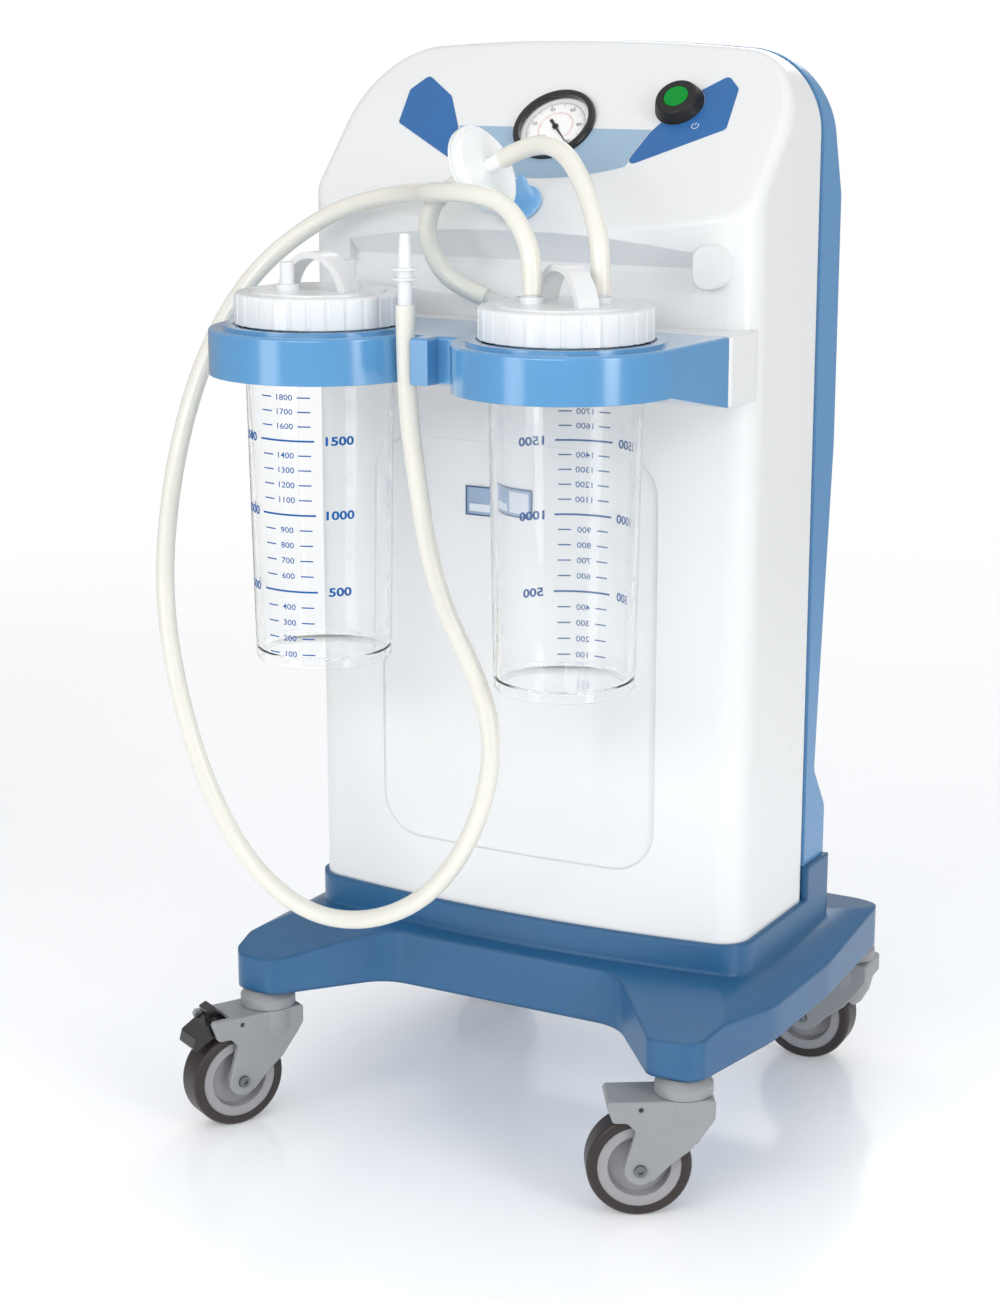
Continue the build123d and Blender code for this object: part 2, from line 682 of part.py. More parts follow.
def make_float(side):
    """Overflow float: a cage under the pump-side port with a ball inside, as one closed body."""
    place = port_places(side)[1]
    with BuildPart() as float_cage:
        with BuildSketch(Plane.XY.offset(614)):
            with Locations(place):
                Circle(10)
        extrude(amount=LID_Z + 20 - 614)
        with BuildSketch(Plane.XY.offset(620)):
            with Locations(place):
                Circle(7.5)
        extrude(amount=48, mode=Mode.SUBTRACT)
        with BuildSketch(Plane.XY.offset(620)):
            with Locations(place):
                Rectangle(8, 30)
                Rectangle(30, 8)
        extrude(amount=36, mode=Mode.SUBTRACT)
        with BuildSketch(Plane.XY.offset(620)):
            with Locations(place):
                Circle(6.4)
        extrude(amount=18)
    return float_cage


for side, x in (("left", -JAR_X), ("right", JAR_X)):
    with BuildPart() as jar:
        add(make_jar(x))
    save(jar, f"jar_{side}")
    save(make_lid(side), f"lid_{side}")
    save(make_gasket(x), f"gasket_{side}")
    save(make_float(side), f"float_{side}")


# ---- filter, hoses and connector ---------------------------------------------------
def cord_radii(points):
    """Bend radius at each corner of a route: 0.45 of the shorter run over the tangent of half the turn."""
    radii = []
    for before, here, after in zip(points, points[1:], points[2:]):
        run_in = Vector(here) - Vector(before)
        run_out = Vector(after) - Vector(here)
        half_turn = math.radians(run_in.get_angle(run_out)) / 2
        radii.append(0.45 * min(run_in.length, run_out.length) / math.tan(half_turn))
    return radii


def make_tube(name, route, radii, radius):
    with BuildPart() as tube:
        with BuildLine() as path:
            FilletPolyline(*route, radius=radii)
        line = path.wire()
        with BuildSketch(Plane(origin=line @ 0, z_dir=line % 0)):
            Circle(radius)
        sweep()
    expected = math.pi * radius**2 * line.length
    print(name, "length", round(line.length), "volume ratio", round(tube.part.volume / expected, 4),
          "radii", [round(value) for value in radii])
    save(tube, name)


make_tube("filter_hose", FILTER_HOSE_ROUTE, cord_radii(FILTER_HOSE_ROUTE), HOSE_R)
make_tube("inlet_hose", INLET_HOSE_ROUTE, cord_radii(INLET_HOSE_ROUTE), HOSE_R)
make_tube("patient_hose", PATIENT_HOSE_ROUTE, cord_radii(PATIENT_HOSE_ROUTE), HOSE_R)

inlet_end = Vector(INLET_HOSE_ROUTE[-1])
inlet_dir = (inlet_end - Vector(INLET_HOSE_ROUTE[-2])).normalized()
elbow_bend = inlet_end + inlet_dir * ((ELBOW_X - inlet_end.X) / inlet_dir.X)
make_tube(
    "inlet_elbow",
    [inlet_end, elbow_bend, (elbow_bend.X, -22, elbow_bend.Z)],
    [9],
    5.5,
)

FILTER = Plane(origin=FILTER_CENTRE, x_dir=(0, 1, 0.2406), z_dir=FILTER_AXIS)


def make_filter_half(way):
    """One half shell of the filter, on the pump side (way -1) or on the jar side (way 1)."""
    with BuildPart() as half:
        with BuildSketch(FILTER.offset(0.15 * way)):
            Circle(FILTER_R)
        extrude(amount=2.5 * way)
        with BuildSketch(FILTER.offset(2.5 * way)):
            Circle(FILTER_R - 3)
        extrude(amount=4 * way, taper=25)
        with BuildSketch(FILTER.offset(2 * way)):
            Circle(5.4)
        extrude(amount=(FILTER_REACH - 2) * way)
    return half


save(make_filter_half(1), "filter_front_shell")
save(make_filter_half(-1), "filter_rear_shell")

with BuildPart() as patient_connector:
    tip_x, tip_y, tip_z = PATIENT_HOSE_ROUTE[-1]
    add(lathe(
        upright(tip_x, tip_y),
        [
            (0, tip_z),
            (5.2, tip_z),
            (5.2, tip_z + 18),
            (9.2, tip_z + 18),
            (9.2, tip_z + 19.6),
            (5.8, tip_z + 19.6),
            (5.8, tip_z + 25),
            (9.2, tip_z + 25),
            (9.2, tip_z + 26.6),
            (5.5, tip_z + 26.6),
            (3.7, tip_z + 51),
            (0, tip_z + 51),
        ],
        (tip_x, tip_y),
    ))
    with BuildSketch(Plane.XY.offset(tip_z + 20)):
        with Locations((tip_x, tip_y)):
            Circle(2.4)
    extrude(amount=40, mode=Mode.SUBTRACT)
save(patient_connector, "patient_connector")


# ---- trolley platform ----------------------------------------------------------------
def platform_outline(inset, z):
    """Plan of the platform: a straight front between two arms, long sides, a straight rear."""
    left_half = [(-x, y, radius) for x, y, radius in reversed(PLATFORM_HALF)]
    with BuildSketch(Plane.XY.offset(z)) as plan:
        with BuildLine():
            rounded_line(PLATFORM_HALF + left_half)
        make_face()
        if inset:
            offset(amount=-inset)
    return plan.sketch


def platform_blank(inset, low_z):
    """Platform without its upstand: upright walls and a top that falls away to all sides."""
    deck = DECK_Z - inset
    edge = DECK_EDGE_Z - inset
    with BuildPart() as blank:
        extrude(platform_outline(inset, low_z), amount=DECK_Z + 10 - low_z)
        with BuildSketch(Plane.XZ):
            with BuildLine():
                FilletPolyline(
                    (-230, low_z - 5), (-230, edge - 4), (-197, deck), (197, deck), (230, edge - 4),
                    (230, low_z - 5), radius=[0, 0, CREASE_R, CREASE_R, 0, 0], close=True,
                )
            make_face()
        extrude(amount=400, both=True, mode=Mode.INTERSECT)
        with BuildSketch(Plane.YZ):
            with BuildLine():
                FilletPolyline(
                    (-140, low_z - 5), (-140, edge), (-50, deck), (150, deck), (242, edge),
                    (242, low_z - 5), radius=[0, 0, CREASE_R, CREASE_R, 0, 0], close=True,
                )
            make_face()
        extrude(amount=400, both=True, mode=Mode.INTERSECT)
    return blank.part


def upstand_plan(outset, z, back_y, front_y=None):
    with BuildSketch(Plane.XY.offset(z)) as plan:
        add(casing_plan(-outset, z, back_y))
        if front_y is not None:
            with Locations((0, (front_y + back_y) / 2)):
                Rectangle(500, back_y - front_y, mode=Mode.INTERSECT)
    return plan.sketch


SWIVELS = [(way * SWIVEL_X, y) for way in (-1, 1) for y in SWIVEL_Y.values()]

with BuildPart() as base_platform:
    add(platform_blank(0, BASE_Z))
    add(platform_blank(PLATFORM_WALL, BASE_Z - 5), mode=Mode.SUBTRACT)
    extrude(upstand_plan(COLLAR, DECK_Z - 12, BACK_Y + COLLAR), amount=SHELL_Z - DECK_Z + 12)
    extrude(
        upstand_plan(COLLAR, DECK_Z, BACK_Y + COLLAR, SEAM_Y + 0.5), amount=REAR_SHELL_Z - DECK_Z
    )
    extrude(upstand_plan(-WALL, DECK_Z, BACK_Y - WALL), amount=80, mode=Mode.SUBTRACT)
    extrude(upstand_plan(-WALL, BASE_Z, BACK_Y - WALL), amount=DECK_Z - WALL - BASE_Z, mode=Mode.SUBTRACT)
    with BuildSketch(Plane.XY.offset(BASE_Z)):
        with Locations(*SWIVELS):
            Circle(16)
    extrude(amount=27)
    with BuildSketch(Plane.XY.offset(BASE_Z + 4)):
        with Locations(*PLATE_SCREWS):
            Circle(7)
    extrude(amount=DECK_Z - BASE_Z - 6)
    with BuildSketch(Plane.XY.offset(BASE_Z)):
        with Locations(*SWIVELS):
            Circle(6.05)
        with Locations(*PLATE_SCREWS):
            Circle(2.05)
    extrude(amount=24, mode=Mode.SUBTRACT)
save(base_platform, "base_platform")

with BuildPart() as base_underplate:
    extrude(platform_outline(PLATFORM_WALL + 0.4, BASE_Z + 1), amount=3)
    with BuildSketch(Plane.XY.offset(BASE_Z)):
        with Locations(*SWIVELS):
            Circle(16.4)
        with Locations(*PLATE_SCREWS):
            Circle(2.2)
    extrude(amount=10, mode=Mode.SUBTRACT)
save(base_underplate, "base_underplate")

with BuildPart() as casing_screws:
    with BuildSketch(Plane.XY.offset(BASE_Z - 1.2)):
        with Locations(*PLATE_SCREWS):
            Circle(4)
    extrude(amount=2.2)
    with BuildSketch(Plane.XY.offset(BASE_Z)):
        with Locations(*PLATE_SCREWS):
            Circle(2)
    extrude(amount=18)
    with BuildSketch(Plane.XZ.offset(-REAR_FACE_Y)):
        with GridLocations(320, 150, 2, 2):
            with Locations((0, GRILLE_Z)):
                Circle(4)
    extrude(amount=-2.4)
save(casing_screws, "casing_screws")


# ---- casters -----------------------------------------------------------------------------
def caster_plane(x, y, turn):
    """Plane of a caster's wheel: local x is the trail direction, local y is up."""
    angle = math.radians(turn)
    return Plane(
        origin=(x, y, 0),
        x_dir=(math.cos(angle), math.sin(angle), 0),
        z_dir=(math.sin(angle), -math.cos(angle), 0),
    )


def make_fork(x, y, turn, braked):
    plane = caster_plane(x, y, turn)
    with BuildPart() as fork:
        with BuildSketch(plane):
            with BuildLine():
                rounded_line(FORK_OUTLINE)
            make_face()
            with Locations((TRAIL, WHEEL_R)):
                Circle(12)
        extrude(amount=FORK_HALF_W, both=True)
        fillet(fork.faces().sort_by(Axis(plane.origin, plane.z_dir))[-1].edges(), radius=1.5)
        fillet(fork.faces().sort_by(Axis(plane.origin, plane.z_dir))[0].edges(), radius=1.5)
        add(lathe(upright(x, y), SWIVEL_HOUSING, (x, y)))
        with BuildSketch(plane):
            with Locations((TRAIL, WHEEL_R)):
                Circle(WHEEL_R + 3.5)
            with BuildLine():
                Polyline((14, 60), (70, 60), (70, 92), (14, 92), close=True)
            make_face()
        extrude(amount=15, both=True, mode=Mode.SUBTRACT)
        if braked:
            with BuildSketch(plane):
                with BuildLine():
                    Polyline((42, 85), (70, 85), (70, 110), (42, 110), close=True)
                make_face()
            extrude(amount=14, both=True, mode=Mode.SUBTRACT)
            with BuildSketch(plane):
                with Locations((PIN_U, PIN_Z)):
                    Circle(1.5)
            extrude(amount=16, both=True)
        with BuildSketch(plane):
            with Locations((TRAIL, WHEEL_R)):
                Circle(AXLE_R)
        extrude(amount=FORK_HALF_W + 5, both=True, mode=Mode.SUBTRACT)
        for way in (-1, 1):
            with BuildSketch(plane.offset(15.6 * way)):
                with Locations((PIN_U, PIN_Z)):
                    Circle(2)
            extrude(amount=10 * way, mode=Mode.SUBTRACT)
        with BuildSketch(Plane.XY.offset(83.5)):
            with Locations((x, y)):
                Circle(6.06)
        extrude(amount=20, mode=Mode.SUBTRACT)
    return fork


def make_axle(x, y, turn):
    plane = caster_plane(x, y, turn)
    with BuildPart() as axle:
        with BuildSketch(plane):
            with Locations((TRAIL, WHEEL_R)):
                Circle(AXLE_R)
        extrude(amount=FORK_HALF_W, both=True)
        for way in (-1, 1):
            with BuildSketch(plane.offset(way * FORK_HALF_W)):
                with Locations((TRAIL, WHEEL_R)):
                    Circle(AXLE_HEAD_R)
            extrude(amount=2.2 * way, taper=12)
            with BuildSketch(plane.offset(way * (FORK_HALF_W + 0.8))):
                with Locations((TRAIL, WHEEL_R)):
                    RegularPolygon(2.4, 6)
            extrude(amount=3 * way, mode=Mode.SUBTRACT)
    return axle


def make_hub(x, y, turn):
    plane = caster_plane(x, y, turn)
    with BuildPart() as hub:
        with BuildSketch(plane):
            with Locations((TRAIL, WHEEL_R)):
                Circle(WHEEL_R - 8)
        extrude(amount=TYRE_HALF_W - 0.8, both=True)
        for way in (-1, 1):
            with BuildSketch(plane.offset(way * (TYRE_HALF_W - 0.8))):
                with Locations((TRAIL, WHEEL_R)):
                    Circle(24)
            extrude(amount=-7 * way, taper=12, mode=Mode.SUBTRACT)
        with BuildSketch(plane):
            with Locations((TRAIL, WHEEL_R)):
                Circle(9)
        extrude(amount=14.6, both=True)
        with BuildSketch(plane):
            with Locations((TRAIL, WHEEL_R)):
                Circle(AXLE_R + 0.06)
        extrude(amount=20, both=True, mode=Mode.SUBTRACT)
    return hub


def make_tyre(x, y, turn):
    plane = caster_plane(x, y, turn)
    with BuildPart() as tyre:
        with BuildSketch(plane):
            with Locations((TRAIL, WHEEL_R)):
                Circle(WHEEL_R)
        extrude(amount=TYRE_HALF_W, both=True)
        fillet(tyre.edges(), radius=4)
        with BuildSketch(plane):
            with Locations((TRAIL, WHEEL_R)):
                Circle(WHEEL_R - 8)
        extrude(amount=20, both=True, mode=Mode.SUBTRACT)
    return tyre


def make_rocker(x, y, turn):
    """Brake rocker: an upper tab and a lower pedal on a pin across the fork."""
    plane = caster_plane(x, y, turn)
    with BuildPart() as rocker:
        with BuildSketch(plane):
            with BuildLine():
                rounded_line(PEDAL_OUTLINE)
            make_face()
            with Locations((PIN_U, PIN_Z)):
                Circle(2.6)
        extrude(amount=BRAKE_HALF_W, both=True)
        with BuildSketch(plane):
            with BuildLine():
                rounded_line(TAB_OUTLINE)
            make_face()
        extrude(amount=BRAKE_TAB_HALF_W, both=True)
        with BuildSketch(plane):
            with Locations((PIN_U, PIN_Z)):
                Circle(1.56)
        extrude(amount=20, both=True, mode=Mode.SUBTRACT)
    return rocker


for corner, (x, y, turn, braked) in CASTERS.items():
    save(make_fork(x, y, turn, braked), f"fork_{corner}")
    save(make_axle(x, y, turn), f"axle_{corner}")
    save(make_hub(x, y, turn), f"hub_{corner}")
    save(make_tyre(x, y, turn), f"tyre_{corner}")
    if braked:
        save(make_rocker(x, y, turn), f"brake_{corner}")

with BuildPart() as swivel_caps:
    for x, y in SWIVELS:
        add(lathe(
            upright(x, y),
            [(0, 84), (6, 84), (6, CAP_Z), (22.3, CAP_Z), (22.3, 103.5), (17.5, 109.5), (14, 109.5),
             (14, BASE_Z), (6, BASE_Z), (6, STEM_TOP_Z), (0, STEM_TOP_Z)],
            (x, y),
        ))
save(swivel_caps, "swivel_caps")


# ---- pump unit inside the casing -----------------------------------------------------------
with BuildPart() as pump_mounts:
    with BuildSketch(Plane.XY.offset(DECK_Z)):
        with Locations((0, PUMP_Y)):
            with GridLocations(260, 80, 2, 2):
                Circle(10)
    extrude(amount=MOUNT_TOP_Z - DECK_Z)
save(pump_mounts, "pump_mounts")

with BuildPart() as pump_plate:
    with BuildSketch(Plane.XY.offset(MOUNT_TOP_Z)):
        with Locations((0, PUMP_Y)):
            RectangleRounded(310, 110, 8)
    extrude(amount=3)
save(pump_plate, "pump_plate")

SHAFT = Plane(origin=(0, PUMP_Y, SHAFT_Z), x_dir=(0, 1, 0), z_dir=(1, 0, 0))
with BuildPart() as motor_housing:
    with BuildSketch(SHAFT):
        Circle(MOTOR_R)
        with Locations((0, (MOUNT_TOP_Z + 3 - SHAFT_Z) / 2)):
            Rectangle(60, SHAFT_Z - MOUNT_TOP_Z - 3)
    extrude(amount=MOTOR_HALF_L, both=True)
    with BuildSketch(SHAFT):
        Circle(MOTOR_R - 6)
    extrude(amount=MOTOR_HALF_L - 6, both=True, mode=Mode.SUBTRACT)
    with BuildSketch(SHAFT):
        Circle(SHAFT_R + 0.06)
    extrude(amount=MOTOR_HALF_L + 5, both=True, mode=Mode.SUBTRACT)
save(motor_housing, "motor_housing")

with BuildPart() as motor_rotor:
    with BuildSketch(SHAFT):
        Circle(SHAFT_R)
    extrude(amount=96, both=True)
    with BuildSketch(SHAFT):
        Circle(28)
    extrude(amount=42, both=True)
    with BuildSketch(SHAFT.offset(48)):
        Circle(9)
        with PolarLocations(20, 7):
            Rectangle(24, 2.5)
    extrude(amount=12)
    for way in (-1, 1):
        with BuildSketch(SHAFT.offset(way * 84)):
            with Locations((0, 4)):
                Circle(11)
        extrude(amount=10 * way)
save(motor_rotor, "motor_rotor")

with BuildPart() as pump_body:
    for way in (-1, 1):
        with BuildSketch(Plane.XY.offset(MOUNT_TOP_Z + 3)):
            with Locations((way * 106, PUMP_Y)):
                RectangleRounded(70, 64, 8)
        extrude(amount=74)
        with BuildSketch(Plane.XY.offset(MOUNT_TOP_Z + 77)):
            with Locations((way * 106, PUMP_Y)):
                Circle(28)
        extrude(amount=34)
        with BuildSketch(SHAFT.offset(way * 79)):
            Circle(18)
        extrude(amount=30 * way, mode=Mode.SUBTRACT)
        with BuildSketch(SHAFT.offset(way * 60)):
            Circle(SHAFT_R + 0.5)
        extrude(amount=40 * way, mode=Mode.SUBTRACT)
save(pump_body, "pump_body")

with BuildPart() as power_inlet:
    with BuildSketch(Plane.XZ.offset(-BACK_Y)):
        with Locations((INLET_X, INLET_Z)):
            RectangleRounded(48, 28, 3)
    extrude(amount=-2.5)
    with BuildSketch(Plane.XZ.offset(-BACK_Y)):
        with Locations((INLET_X, INLET_Z)):
            Rectangle(27.8, 19.8)
    extrude(amount=20)
    with BuildSketch(Plane.XZ.offset(-BACK_Y - 5)):
        with Locations((INLET_X, INLET_Z)):
            RectangleRounded(24.5, 16.5, 4)
    extrude(amount=21, mode=Mode.SUBTRACT)
    with BuildSketch(Plane.XZ.offset(-BACK_Y + 17)):
        with Locations((INLET_X - 7, INLET_Z - 2), (INLET_X, INLET_Z + 2), (INLET_X + 7, INLET_Z - 2)):
            Rectangle(2, 4)
    extrude(amount=-16)
save(power_inlet, "power_inlet")
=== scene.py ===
import math

import bmesh
import bpy
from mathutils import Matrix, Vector


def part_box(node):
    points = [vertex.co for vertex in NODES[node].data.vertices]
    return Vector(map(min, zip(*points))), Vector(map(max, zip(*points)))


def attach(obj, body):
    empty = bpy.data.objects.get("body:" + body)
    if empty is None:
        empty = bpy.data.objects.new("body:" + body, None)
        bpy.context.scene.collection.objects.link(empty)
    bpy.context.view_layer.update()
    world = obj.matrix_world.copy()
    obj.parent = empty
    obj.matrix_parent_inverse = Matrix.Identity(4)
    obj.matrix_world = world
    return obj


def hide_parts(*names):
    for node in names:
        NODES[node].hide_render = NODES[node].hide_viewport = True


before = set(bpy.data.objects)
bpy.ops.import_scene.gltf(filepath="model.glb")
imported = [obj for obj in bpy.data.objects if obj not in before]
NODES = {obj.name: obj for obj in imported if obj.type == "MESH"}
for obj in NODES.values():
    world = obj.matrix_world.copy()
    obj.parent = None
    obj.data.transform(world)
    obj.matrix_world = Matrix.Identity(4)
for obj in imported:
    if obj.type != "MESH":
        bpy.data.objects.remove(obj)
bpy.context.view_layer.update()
MM = 0.001


def mm(*values):
    """A point given in millimetres, in metres."""
    return Vector(value * MM for value in values)


# ---- camera -----------------------------------------------------------------
YAW = math.radians(29.06)
PITCH = math.radians(-13.685)
camera_data = bpy.data.cameras.new("camera")
camera_data.lens = 72.08
camera = bpy.data.objects.new("camera", camera_data)
camera.location = mm(950.84, -1772.81, 878.76)
camera.rotation_euler = (math.pi / 2 + PITCH, 0, YAW)
bpy.context.scene.collection.objects.link(camera)
bpy.context.scene.camera = camera


# ---- materials ----------------------------------------------------------------
CLOUD_SCALE = 14.0       # size of the soft patches of colour and gloss, per metre
SKIN_DEPTH = 0.0004      # height of the fine grain at full strength, in metres


def set_inputs(shader_node, values):
    """Sets inputs of a node from a dictionary whose keys have _ for a space."""
    for socket, value in values.items():
        shader_node.inputs[socket.replace("_", " ")].default_value = value


def node(tree, kind, **values):
    """Adds a shader node and sets its inputs."""
    made = tree.nodes.new("ShaderNode" + kind)
    set_inputs(made, values)
    return made


def material(name, colour, roughness, mottle=0.03, grain=900.0, bump=0.02, edge=0.0, uneven=0.05, **sockets):
    """Plastic, rubber or metal, never quite even.

    mottle is the share that the colour varies by, and uneven is the variation of the roughness. grain
    and bump are the fineness and strength of the skin. An edge of that many millimetres softens the
    shading along edges. sockets sets any other input of the Principled shader.
    """
    made = bpy.data.materials.new(name)
    made.use_nodes = True
    tree = made.node_tree
    shader = tree.nodes["Principled BSDF"]
    point = node(tree, "TexCoord").outputs["Object"]
    cloud = node(tree, "TexNoise", Scale=CLOUD_SCALE, Detail=5.0)
    tree.links.new(point, cloud.inputs["Vector"])
    tint = node(tree, "ValToRGB")
    for element, position, change in zip(tint.color_ramp.elements, (0.3, 0.7), (-mottle, mottle)):
        element.position = position
        element.color = [min(1.0, max(0.0, c * (1 + change))) for c in colour] + [1]
    tree.links.new(cloud.outputs["Fac"], tint.inputs["Fac"])
    tree.links.new(tint.outputs["Color"], shader.inputs["Base Color"])
    gloss = node(tree, "MapRange", To_Min=max(0.02, roughness - uneven), To_Max=min(1.0, roughness + uneven))
    tree.links.new(cloud.outputs["Fac"], gloss.inputs["Value"])
    tree.links.new(gloss.outputs["Result"], shader.inputs["Roughness"])
    skin = node(tree, "TexNoise", Scale=grain, Detail=3.0)
    tree.links.new(point, skin.inputs["Vector"])
    raise_skin = node(tree, "Bump", Strength=bump, Distance=SKIN_DEPTH)
    tree.links.new(skin.outputs["Fac"], raise_skin.inputs["Height"])
    tree.links.new(raise_skin.outputs["Normal"], shader.inputs["Normal"])
    if edge:
        soften = node(tree, "Bevel", Radius=edge * MM)
        soften.samples = 6
        tree.links.new(soften.outputs["Normal"], raise_skin.inputs["Normal"])
    set_inputs(shader, sockets)
    return made


WHITE = material("white_moulding", (0.82, 0.83, 0.835), 0.28, mottle=0.004, grain=700, bump=0.03, edge=1.5,
                 uneven=0.015, Coat_Weight=0.15)
BLUE = material("blue_moulding", (0.022, 0.118, 0.265), 0.30, mottle=0.03, grain=700, bump=0.04, edge=5.0,
                Specular_IOR_Level=0.5)
REAR_BLUE = material("rear_blue", (0.110, 0.285, 0.53), 0.30, mottle=0.012, grain=700, bump=0.04, edge=1.5,
                     uneven=0.02, Coat_Weight=0.2)
HOLDER_BLUE = material("holder_blue", (0.095, 0.300, 0.57), 0.22, mottle=0.03, grain=700, bump=0.02, edge=1.2,
                       uneven=0.02, Coat_Weight=1.0, Coat_Roughness=0.16)
DEEP_BLUE = material("foil_dark_blue", (0.026, 0.142, 0.395), 0.36, mottle=0.03, grain=1500, bump=0.05)
PALE_BLUE = material("foil_light_blue", (0.34, 0.48, 0.62), 0.36, mottle=0.02, grain=1500, bump=0.05)
BLACK = material("black_plastic", (0.008, 0.007, 0.008), 0.2, mottle=0.1, grain=900, bump=0.03, edge=0.6,
                 Coat_Weight=0.4)
BLACK_RUBBER = material("black_rubber", (0.010, 0.009, 0.009), 0.42, mottle=0.15, grain=1200, bump=0.12,
                        edge=0.6)
GREEN = material("green_lens", (0.0, 0.27, 0.03), 0.4, mottle=0.06, grain=900, bump=0.05, edge=0.6,
                 Specular_IOR_Level=0.2)
DIAL = material("dial_white", (0.86, 0.86, 0.85), 0.55, mottle=0.02, grain=1500, bump=0.05)
INK = material("dial_ink", (0.02, 0.02, 0.03), 0.5, mottle=0.1)
BLUE_INK = material("blue_ink", (0.0, 0.095, 0.34), 0.5, mottle=0.08, Specular_IOR_Level=0.2)
WHITE_INK = material("white_ink", (0.75, 0.8, 0.88), 0.4, mottle=0.05)
RED_INK = material("red_ink", (0.55, 0.08, 0.07), 0.4, mottle=0.05)
KNOB_BLUE = material("knob_blue", (0.24, 0.51, 0.83), 0.22, mottle=0.03, bump=0.02, edge=0.8, Coat_Weight=0.5)
LID_WHITE = material("lid_white", (0.80, 0.815, 0.825), 0.30, mottle=0.012, bump=0.03, edge=0.6,
                     Coat_Weight=0.25, Subsurface_Weight=0.12, Subsurface_Scale=0.004)
MILKY = material("milky_plastic", (0.86, 0.88, 0.88), 0.24, mottle=0.02, edge=0.5, Transmission_Weight=0.45,
                 Subsurface_Weight=0.2, Subsurface_Scale=0.004)
FILTER_WHITE = material("filter_white", (0.94, 0.955, 0.96), 0.30, mottle=0.012, grain=1500, bump=0.08,
                        edge=0.8, Coat_Weight=0.2, Subsurface_Weight=0.12, Subsurface_Scale=0.004)
SILICONE = material("silicone_hose", (0.88, 0.87, 0.79), 0.24, mottle=0.015, grain=400, bump=0.03,
                    Subsurface_Weight=0.15, Subsurface_Scale=0.003, Transmission_Weight=0.1, Coat_Weight=0.25)
PLATE = material("plate_film", (0.33, 0.44, 0.60), 0.3, mottle=0.05, grain=1500, bump=0.04)
PLATE_LIGHT = material("plate_field", (0.72, 0.77, 0.83), 0.35, mottle=0.06, grain=1500, bump=0.04)
PLATE_EDGE = material("plate_border", (0.035, 0.085, 0.20), 0.35, mottle=0.05)
CASTER_GREY = material("caster_grey", (0.31, 0.32, 0.33), 0.46, mottle=0.05, grain=1300, bump=0.25, edge=1.2)
HUB_GREY = material("hub_grey", (0.34, 0.335, 0.35), 0.42, mottle=0.05, grain=1300, bump=0.14, edge=0.8)
TYRE = material("tyre_rubber", (0.030, 0.021, 0.020), 0.42, mottle=0.15, grain=1000, bump=0.12)
STEEL = material("zinc_steel", (0.55, 0.57, 0.58), 0.3, mottle=0.08, grain=2000, bump=0.1, edge=0.4,
                 Metallic=1.0)
BOLT = material("bolt_steel", (0.20, 0.21, 0.22), 0.35, mottle=0.08, grain=2000, bump=0.1, Metallic=1.0)
BRASS = material("brass", (0.62, 0.44, 0.18), 0.3, mottle=0.06, grain=2000, bump=0.08, Metallic=1.0)
PUMP_METAL = material("cast_aluminium", (0.42, 0.43, 0.44), 0.45, mottle=0.08, grain=900, bump=0.35,
                      Metallic=1.0)
MOTOR_PAINT = material("motor_paint", (0.05, 0.06, 0.07), 0.42, mottle=0.1, grain=800, bump=0.2)
SEAL = material("soft_seal", (0.62, 0.62, 0.6), 0.55, mottle=0.05)
CLEAR = material("clear_jar", (0.985, 0.992, 0.995), 0.04, mottle=0.004, grain=60, bump=0.01,
                 Transmission_Weight=1.0, IOR=1.13, Coat_Weight=0.5)
WINDOW = material("gauge_window", (0.99, 0.99, 0.99), 0.04, mottle=0.004, grain=60, bump=0.01,
                  Transmission_Weight=1.0, IOR=1.12, Alpha=0.25)

NODE_MATERIALS = {
    "base_platform": BLUE, "base_underplate": BLUE, "casing_screws": STEEL, "front_shell": WHITE,
    "rear_shell": REAR_BLUE, "rear_grille": BLACK_RUBBER, "name_plate": PLATE, "panel_petals": DEEP_BLUE,
    "panel_band": PALE_BLUE, "gauge_case": BLACK, "gauge_dial": DIAL, "gauge_glass": WINDOW,
    "gauge_needle": INK, "switch_bezel": BLACK_RUBBER, "switch_button": GREEN, "regulator_valve": BRASS,
    "regulator_knob": KNOB_BLUE, "inlet_elbow": MILKY, "filter_front_shell": FILTER_WHITE,
    "filter_rear_shell": FILTER_WHITE, "patient_connector": LID_WHITE, "jar_holder": HOLDER_BLUE,
    "jar_left": CLEAR, "jar_right": CLEAR, "lid_left": LID_WHITE, "lid_right": LID_WHITE,
    "gasket_left": SEAL, "gasket_right": SEAL, "float_left": MILKY, "float_right": MILKY,
    "pump_body": PUMP_METAL, "motor_housing": MOTOR_PAINT, "motor_rotor": STEEL,
    "pump_mounts": BLACK_RUBBER, "pump_plate": STEEL, "power_inlet": BLACK, "swivel_caps": CASTER_GREY,
    "brake_front_left": BLACK, "brake_rear_left": BLACK,
}
CORNERS = ("front_left", "front_right", "rear_left", "rear_right")
for corner in CORNERS:
    NODE_MATERIALS[f"fork_{corner}"] = CASTER_GREY
    NODE_MATERIALS[f"axle_{corner}"] = BOLT
    NODE_MATERIALS[f"hub_{corner}"] = HUB_GREY
    NODE_MATERIALS[f"tyre_{corner}"] = TYRE

for name, node_material in NODE_MATERIALS.items():
    NODES[name].data.materials.clear()
    NODES[name].data.materials.append(node_material)


# ---- helpers for new pieces ------------------------------------------------------
INK_DEPTH = 0.04         # thickness of printed figures and lines, in millimetres


def piece(name, mesh_or_curve, piece_material, body="root"):
    """Links a new object, gives it its material and lets it ride on a body."""
    made = bpy.data.objects.new(name, mesh_or_curve)
    bpy.context.scene.collection.objects.link(made)
    made.data.materials.append(piece_material)
    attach(made, body)
    return made


